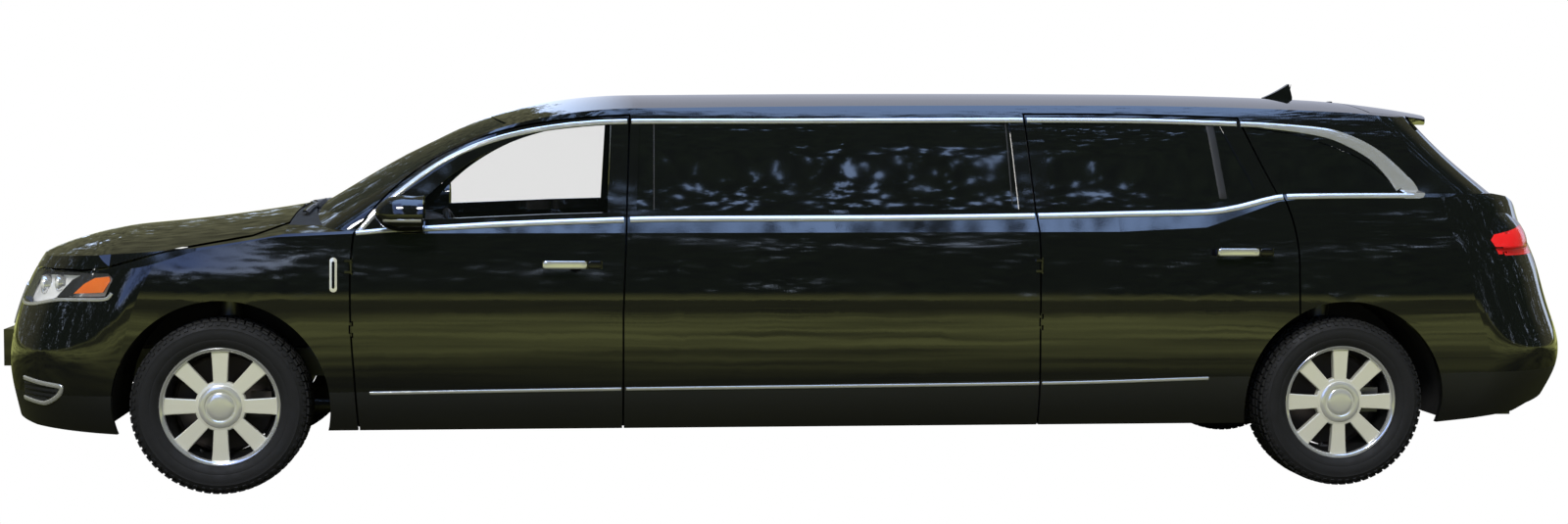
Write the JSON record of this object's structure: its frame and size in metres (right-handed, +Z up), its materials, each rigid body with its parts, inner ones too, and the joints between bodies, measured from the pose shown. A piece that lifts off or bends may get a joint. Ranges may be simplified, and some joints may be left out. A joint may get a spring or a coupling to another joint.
{
  "type": "stretch limousine",
  "caption": "Stretch crossover limousine with a lengthened middle section, hinged doors, bonnet and tail gate, steered and freely turning road wheels and a furnished lounge",
  "frame": {"origin": "on the ground, below the middle of the overall length and width", "axes": "+X forward, +Y to the car's left, +Z up"},
  "size_m": [7.0992, 2.18, 1.762],
  "materials": {
    "paint": "gloss",
    "privacy_glass": "gloss",
    "clear_glass": "gloss",
    "lamp_glass": "gloss",
    "red_lens": "gloss",
    "chrome": "polished",
    "underbody": "matte",
    "black_plastic": "matte",
    "steel": "satin",
    "cast_iron": "rough",
    "cast_aluminium": "rough",
    "aluminium": "polished",
    "tyre": "matte",
    "leather": "satin",
    "wood": "gloss"
  },
  "bodies": {
    "car_body": {"antenna": "paint", "arch_liners": "black_plastic", "bar_cabinet": "wood", "dashboard": "black_plastic", "engine": "cast_aluminium", "exhaust": "steel", "fender_left": "paint", "fender_right": "paint", "floor_and_bulkhead": "underbody", "front_bumper": "paint", "front_seats": "leather", "grille": "chrome", "headlamps": "lamp_glass", "lounge_seats": "leather", "partition": "black_plastic", "quarter_glass": "privacy_glass", "quarter_panel_left": "paint", "quarter_panel_right": "paint", "rear_bumper": "paint", "roof": "paint", "steering_wheel": "leather", "stretch_glass": "privacy_glass", "stretch_panel_left": "paint", "stretch_panel_right": "paint", "suspension_front": "steel", "suspension_rear": "steel", "tail_lamps": "red_lens", "windscreen": "clear_glass"},
    "steer_left": {"knuckle_left": "cast_iron"},
    "steer_right": {"knuckle_right": "cast_iron"},
    "hood": {"hood": "paint"},
    "tailgate": {"tailgate": "paint", "tailgate_glass": "privacy_glass"},
    "door_front_left": {"door_front_left": "paint", "glass_front_left": "clear_glass", "mirror_left": "paint"},
    "door_front_right": {"door_front_right": "paint", "glass_front_right": "clear_glass", "mirror_right": "paint"},
    "door_rear_left": {"door_rear_left": "paint", "glass_rear_left": "privacy_glass"},
    "door_rear_right": {"door_rear_right": "paint", "glass_rear_right": "privacy_glass"},
    "wheel_front_left": {"rim_front_left": "aluminium", "tyre_front_left": "tyre"},
    "wheel_front_right": {"rim_front_right": "aluminium", "tyre_front_right": "tyre"},
    "wheel_rear_left": {"rim_rear_left": "aluminium", "tyre_rear_left": "tyre"},
    "wheel_rear_right": {"rim_rear_right": "aluminium", "tyre_rear_right": "tyre"}
  },
  "joints": [
    {"name": "steer_left", "type": "hinge", "parent": "car_body", "child": "steer_left", "pos_m": [2.495, 0.722, 0.366], "axis": [0, 0, 1], "range_deg": [-33, 33]},
    {"name": "steer_right", "type": "hinge", "parent": "car_body", "child": "steer_right", "pos_m": [2.495, -0.722, 0.366], "axis": [0, 0, 1], "range_deg": [-33, 33]},
    {"name": "spin_front_left", "type": "hinge", "parent": "steer_left", "child": "wheel_front_left", "pos_m": [2.495, 0.83, 0.366], "axis": [0, 1, 0], "continuous": true},
    {"name": "spin_front_right", "type": "hinge", "parent": "steer_right", "child": "wheel_front_right", "pos_m": [2.495, -0.83, 0.366], "axis": [0, 1, 0], "continuous": true},
    {"name": "spin_rear_left", "type": "hinge", "parent": "car_body", "child": "wheel_rear_left", "pos_m": [-2.278, 0.83, 0.366], "axis": [0, 1, 0], "continuous": true},
    {"name": "spin_rear_right", "type": "hinge", "parent": "car_body", "child": "wheel_rear_right", "pos_m": [-2.278, -0.83, 0.366], "axis": [0, 1, 0], "continuous": true},
    {"name": "open_door_front_left", "type": "hinge", "parent": "car_body", "child": "door_front_left", "pos_m": [1.958, 0.9615, 0.8], "axis": [0, 0, -1], "range_deg": [0, 66]},
    {"name": "open_door_front_right", "type": "hinge", "parent": "car_body", "child": "door_front_right", "pos_m": [1.958, -0.9615, 0.8], "axis": [0, 0, 1], "range_deg": [0, 66]},
    {"name": "open_door_rear_left", "type": "hinge", "parent": "car_body", "child": "door_rear_left", "pos_m": [-0.937, 0.9615, 0.8], "axis": [0, 0, -1], "range_deg": [0, 66]},
    {"name": "open_door_rear_right", "type": "hinge", "parent": "car_body", "child": "door_rear_right", "pos_m": [-0.937, -0.9615, 0.8], "axis": [0, 0, 1], "range_deg": [0, 66]},
    {"name": "open_hood", "type": "hinge", "parent": "car_body", "child": "hood", "pos_m": [2.237, 0, 1.171], "axis": [0, -1, 0], "range_deg": [0, 50]},
    {"name": "open_tailgate", "type": "hinge", "parent": "car_body", "child": "tailgate", "pos_m": [-2.499, 0, 1.677], "axis": [0, 1, 0], "range_deg": [0, 78]}
  ],
  "couplings": [
    {"joint": "steer_right", "follows": "steer_left", "ratio": 1}
  ]
}
